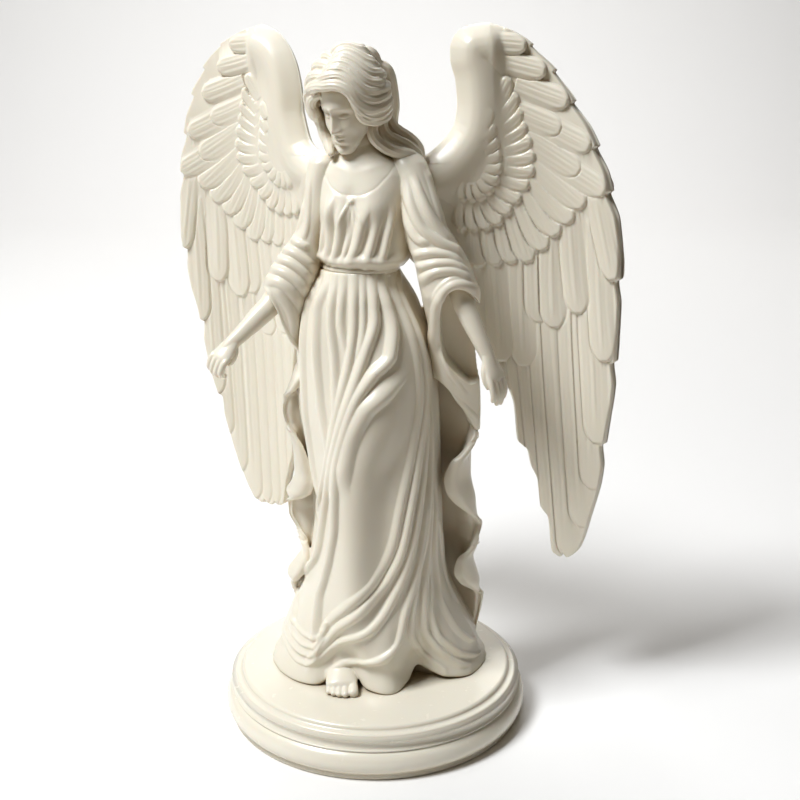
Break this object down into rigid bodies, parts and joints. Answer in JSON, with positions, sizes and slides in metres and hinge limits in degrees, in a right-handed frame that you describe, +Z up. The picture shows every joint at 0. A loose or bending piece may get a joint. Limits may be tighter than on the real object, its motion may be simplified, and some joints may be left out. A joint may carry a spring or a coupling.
{
  "type": "angel statue",
  "caption": "Standing winged figure in a long belted robe and mantle, head bowed, arms lowered, on a round moulded plinth.",
  "frame": {"origin": "centre of the plinth's underside, on the surface that the statue stands on", "axes": "+Z up, -Y the side that the statue is seen from, +X towards the figure's left side"},
  "size_m": [0.2003, 0.1378, 0.3035],
  "materials": {
    "figure_ivory": "warm ivory cast resin, softly polished like alabaster, with a satin sheen and faint tan in the hollows",
    "plinth_ivory": "warm ivory cast resin, polished, with small bright glints"
  },
  "bodies": {
    "root": {"angel_figure": "figure_ivory", "plinth": "plinth_ivory"}
  },
  "joints": []
}
